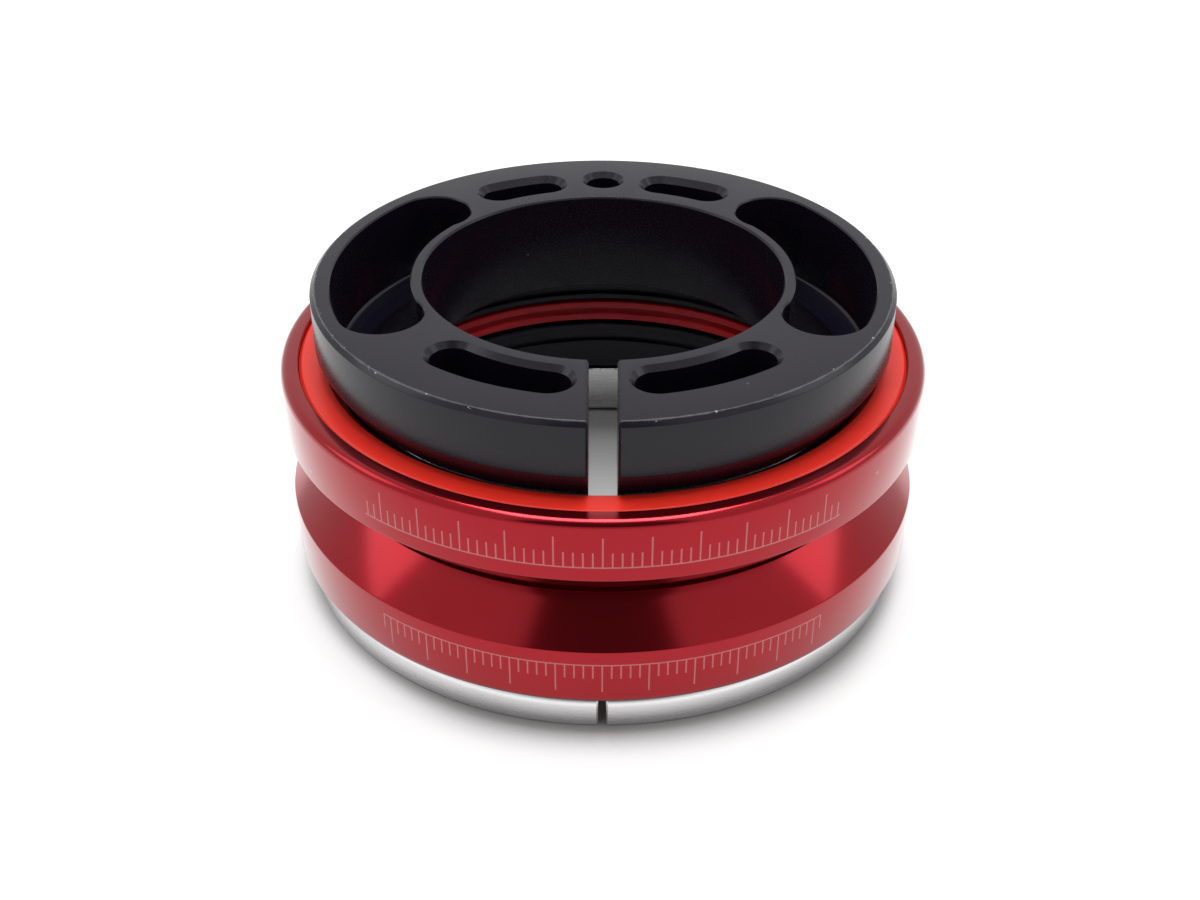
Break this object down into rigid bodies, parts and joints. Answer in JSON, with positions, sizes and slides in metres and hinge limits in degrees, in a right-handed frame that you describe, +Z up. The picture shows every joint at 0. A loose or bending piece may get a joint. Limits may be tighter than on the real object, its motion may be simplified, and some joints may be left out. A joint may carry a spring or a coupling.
{
  "type": "integrated headset bearing set",
  "caption": "Integrated headset bearing set: split crown race, two sealed angular contact bearings back to back and a split compression ring with cable ports.",
  "frame": {"origin": "centre of the crown race's bottom face, on the steerer axis", "axes": "+Z up along the steerer axis, from the fork crown to the top cover; the splits of both split rings face -Y, the cable ports lie on +X and -X"},
  "size_m": [0.0518, 0.0518, 0.0253],
  "materials": {
    "polished_alloy": "polished",
    "red_anodised": "glossy metallic red coat",
    "black_steel": "black oxide, ground",
    "seal_rubber": "smooth orange-red",
    "cage_nylon": "moulded",
    "ball_steel": "polished",
    "black_anodised": "satin black anodised, bare at nicks"
  },
  "bodies": {
    "crown": {"crown_race": "polished_alloy"},
    "lower_inner": {"lower_inner_race": "black_steel"},
    "lower_outer": {"lower_outer_race": "red_anodised", "lower_front_seal": "seal_rubber", "lower_back_seal": "seal_rubber"},
    "lower_cage": {"lower_ball_cage": "cage_nylon", "lower_ball_01": "ball_steel", "lower_ball_02": "ball_steel", "lower_ball_03": "ball_steel", "lower_ball_04": "ball_steel", "lower_ball_05": "ball_steel", "lower_ball_06": "ball_steel", "lower_ball_07": "ball_steel", "lower_ball_08": "ball_steel", "lower_ball_09": "ball_steel", "lower_ball_10": "ball_steel", "lower_ball_11": "ball_steel", "lower_ball_12": "ball_steel", "lower_ball_13": "ball_steel", "lower_ball_14": "ball_steel", "lower_ball_15": "ball_steel", "lower_ball_16": "ball_steel", "lower_ball_17": "ball_steel", "lower_ball_18": "ball_steel", "lower_ball_19": "ball_steel", "lower_ball_20": "ball_steel", "lower_ball_21": "ball_steel", "lower_ball_22": "ball_steel"},
    "upper_outer": {"upper_outer_race": "red_anodised", "upper_front_seal": "seal_rubber", "upper_back_seal": "seal_rubber"},
    "upper_inner": {"upper_inner_race": "black_steel"},
    "upper_cage": {"upper_ball_cage": "cage_nylon", "upper_ball_01": "ball_steel", "upper_ball_02": "ball_steel", "upper_ball_03": "ball_steel", "upper_ball_04": "ball_steel", "upper_ball_05": "ball_steel", "upper_ball_06": "ball_steel", "upper_ball_07": "ball_steel", "upper_ball_08": "ball_steel", "upper_ball_09": "ball_steel", "upper_ball_10": "ball_steel", "upper_ball_11": "ball_steel", "upper_ball_12": "ball_steel", "upper_ball_13": "ball_steel", "upper_ball_14": "ball_steel", "upper_ball_15": "ball_steel", "upper_ball_16": "ball_steel", "upper_ball_17": "ball_steel", "upper_ball_18": "ball_steel", "upper_ball_19": "ball_steel", "upper_ball_20": "ball_steel", "upper_ball_21": "ball_steel", "upper_ball_22": "ball_steel"},
    "ring": {"compression_ring": "black_anodised"}
  },
  "joints": [
    {"name": "lower_bearing_lift", "type": "slide", "parent": "crown", "child": "lower_inner", "axis": [0, 0, 1], "range_m": [0, 0.015]},
    {"name": "lower_outer_spin", "type": "hinge", "parent": "lower_inner", "child": "lower_outer", "pos_m": [0, 0, 0.007], "axis": [0, 0, 1], "continuous": true},
    {"name": "lower_cage_spin", "type": "hinge", "parent": "lower_inner", "child": "lower_cage", "pos_m": [0, 0, 0.007], "axis": [0, 0, 1], "continuous": true},
    {"name": "upper_bearing_lift", "type": "slide", "parent": "lower_outer", "child": "upper_outer", "axis": [0, 0, 1], "range_m": [0, 0.015]},
    {"name": "upper_inner_spin", "type": "hinge", "parent": "upper_outer", "child": "upper_inner", "pos_m": [0, 0, 0.015], "axis": [0, 0, 1], "continuous": true},
    {"name": "upper_cage_spin", "type": "hinge", "parent": "upper_outer", "child": "upper_cage", "pos_m": [0, 0, 0.015], "axis": [0, 0, 1], "continuous": true},
    {"name": "compression_ring_lift", "type": "slide", "parent": "upper_inner", "child": "ring", "axis": [0, 0, 1], "range_m": [0, 0.015]}
  ],
  "couplings": [
    {"joint": "lower_cage_spin", "follows": "lower_outer_spin", "ratio": 0.5244},
    {"joint": "upper_cage_spin", "follows": "upper_inner_spin", "ratio": 0.4756}
  ]
}
